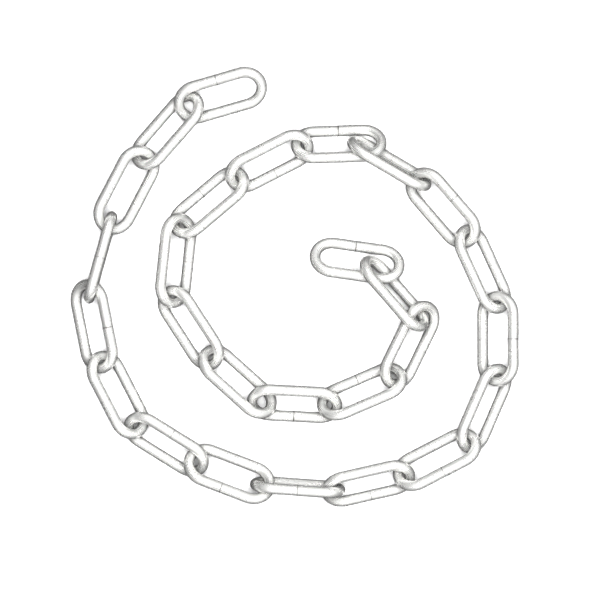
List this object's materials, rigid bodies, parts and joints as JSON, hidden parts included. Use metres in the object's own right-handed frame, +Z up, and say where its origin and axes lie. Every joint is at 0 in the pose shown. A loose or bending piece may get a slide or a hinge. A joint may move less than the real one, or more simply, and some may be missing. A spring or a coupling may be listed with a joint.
{
  "type": "long-link steel chain",
  "caption": "Length of welded long-link steel chain lying flat in a loose spiral; each link is hooked into its neighbours and swings in them.",
  "frame": {"origin": "on the floor under the middle of the chain's box", "axes": "+Z up off the floor, +X to the right and +Y up the page when the spiral is seen from above as in the picture"},
  "size_m": [0.2104, 0.2066, 0.0232],
  "materials": {
    "zinc_plated_steel": "bright zinc plating, smooth drawn wire with a faint sheen"
  },
  "bodies": {
    "link_01": {"link_01": "zinc_plated_steel"},
    "link_02": {"link_02": "zinc_plated_steel"},
    "link_03": {"link_03": "zinc_plated_steel"},
    "link_04": {"link_04": "zinc_plated_steel"},
    "link_05": {"link_05": "zinc_plated_steel"},
    "link_06": {"link_06": "zinc_plated_steel"},
    "link_07": {"link_07": "zinc_plated_steel"},
    "link_08": {"link_08": "zinc_plated_steel"},
    "link_09": {"link_09": "zinc_plated_steel"},
    "link_10": {"link_10": "zinc_plated_steel"},
    "link_11": {"link_11": "zinc_plated_steel"},
    "link_12": {"link_12": "zinc_plated_steel"},
    "link_13": {"link_13": "zinc_plated_steel"},
    "link_14": {"link_14": "zinc_plated_steel"},
    "link_15": {"link_15": "zinc_plated_steel"},
    "link_16": {"link_16": "zinc_plated_steel"},
    "link_17": {"link_17": "zinc_plated_steel"},
    "link_18": {"link_18": "zinc_plated_steel"},
    "link_19": {"link_19": "zinc_plated_steel"},
    "link_20": {"link_20": "zinc_plated_steel"},
    "link_21": {"link_21": "zinc_plated_steel"},
    "link_22": {"link_22": "zinc_plated_steel"},
    "link_23": {"link_23": "zinc_plated_steel"},
    "link_24": {"link_24": "zinc_plated_steel"},
    "link_25": {"link_25": "zinc_plated_steel"},
    "link_26": {"link_26": "zinc_plated_steel"},
    "link_27": {"link_27": "zinc_plated_steel"}
  },
  "joints": [
    {"name": "swing_01", "type": "hinge", "parent": "link_02", "child": "link_01", "pos_m": [-0.04893, 0.08456, 0.00786], "axis": [0, 0, 1], "range_deg": [-3, 12]},
    {"name": "swing_02", "type": "hinge", "parent": "link_03", "child": "link_02", "pos_m": [-0.07034, 0.06028, 0.00951], "axis": [0, 0, 1], "range_deg": [-3, 6]},
    {"name": "swing_03", "type": "hinge", "parent": "link_04", "child": "link_03", "pos_m": [-0.08611, 0.03008, 0.01084], "axis": [0, 0, 1], "range_deg": [-3, 12]},
    {"name": "swing_04", "type": "hinge", "parent": "link_05", "child": "link_04", "pos_m": [-0.09526, -0.00224, 0.00964], "axis": [0, 0, 1], "range_deg": [-3, 7]},
    {"name": "swing_05", "type": "hinge", "parent": "link_06", "child": "link_05", "pos_m": [-0.09006, -0.03517, 0.00845], "axis": [0, 0, 1], "range_deg": [-3, 12]},
    {"name": "swing_06", "type": "hinge", "parent": "link_07", "child": "link_06", "pos_m": [-0.07389, -0.06443, 0.00875], "axis": [0, 0, 1], "range_deg": [-3, 12]},
    {"name": "swing_07", "type": "hinge", "parent": "link_08", "child": "link_07", "pos_m": [-0.04588, -0.08185, 0.01004], "axis": [0, 0, 1], "range_deg": [-3, 5]},
    {"name": "swing_08", "type": "hinge", "parent": "link_09", "child": "link_08", "pos_m": [-0.01487, -0.09256, 0.01118], "axis": [0, 0, 1], "range_deg": [-3, 10]},
    {"name": "swing_09", "type": "hinge", "parent": "link_10", "child": "link_09", "pos_m": [0.01822, -0.09485, 0.00991], "axis": [0, 0, 1], "range_deg": [-3, 8]},
    {"name": "swing_10", "type": "hinge", "parent": "link_11", "child": "link_10", "pos_m": [0.05131, -0.08807, 0.00987], "axis": [0, 0, 1], "range_deg": [-3, 12]},
    {"name": "swing_11", "type": "hinge", "parent": "link_12", "child": "link_11", "pos_m": [0.08082, -0.07173, 0.01004], "axis": [0, 0, 1], "range_deg": [-3, 12]},
    {"name": "swing_12", "type": "hinge", "parent": "link_13", "child": "link_12", "pos_m": [0.0946, -0.04122, 0.0093], "axis": [0, 0, 1], "range_deg": [-3, 12]},
    {"name": "swing_13", "type": "hinge", "parent": "link_14", "child": "link_13", "pos_m": [0.09435, -0.00751, 0.00921], "axis": [0, 0, 1], "range_deg": [-3, 12]},
    {"name": "swing_15", "type": "hinge", "parent": "link_14", "child": "link_15", "pos_m": [0.0805, 0.0236, 0.00943], "axis": [0, 0, -1], "range_deg": [-3, 12]},
    {"name": "swing_16", "type": "hinge", "parent": "link_15", "child": "link_16", "pos_m": [0.05839, 0.04895, 0.01068], "axis": [0, 0, -1], "range_deg": [-3, 10]},
    {"name": "swing_17", "type": "hinge", "parent": "link_16", "child": "link_17", "pos_m": [0.03349, 0.06565, 0.00992], "axis": [0, 0, -1], "range_deg": [-3, 3]},
    {"name": "swing_18", "type": "hinge", "parent": "link_17", "child": "link_18", "pos_m": [0.00391, 0.06554, 0.0088], "axis": [0, 0, -1], "range_deg": [-3, 12]},
    {"name": "swing_19", "type": "hinge", "parent": "link_18", "child": "link_19", "pos_m": [-0.02663, 0.05046, 0.0089], "axis": [0, 0, -1], "range_deg": [-3, 12]},
    {"name": "swing_20", "type": "hinge", "parent": "link_19", "child": "link_20", "pos_m": [-0.05166, 0.02803, 0.00918], "axis": [0, 0, -1], "range_deg": [-3, 12]},
    {"name": "swing_21", "type": "hinge", "parent": "link_20", "child": "link_21", "pos_m": [-0.05591, -0.00433, 0.00918], "axis": [0, 0, -1], "range_deg": [-3, 12]},
    {"name": "swing_22", "type": "hinge", "parent": "link_21", "child": "link_22", "pos_m": [-0.03889, -0.03288, 0.00851], "axis": [0, 0, -1], "range_deg": [-3, 12]},
    {"name": "swing_23", "type": "hinge", "parent": "link_22", "child": "link_23", "pos_m": [-0.01484, -0.05325, 0.00852], "axis": [0, 0, -1], "range_deg": [-3, 12]},
    {"name": "swing_24", "type": "hinge", "parent": "link_23", "child": "link_24", "pos_m": [0.01639, -0.0546, 0.00848], "axis": [0, 0, -1], "range_deg": [-3, 12]},
    {"name": "swing_25", "type": "hinge", "parent": "link_24", "child": "link_25", "pos_m": [0.04576, -0.04117, 0.00852], "axis": [0, 0, -1], "range_deg": [-2, 12]},
    {"name": "swing_26", "type": "hinge", "parent": "link_25", "child": "link_26", "pos_m": [0.05681, -0.01442, 0.01068], "axis": [0, 0, -1], "range_deg": [-3, 9]},
    {"name": "swing_27", "type": "hinge", "parent": "link_26", "child": "link_27", "pos_m": [0.0401, 0.00806, 0.01017], "axis": [0, 0, -1], "range_deg": [-3, 10]}
  ]
}
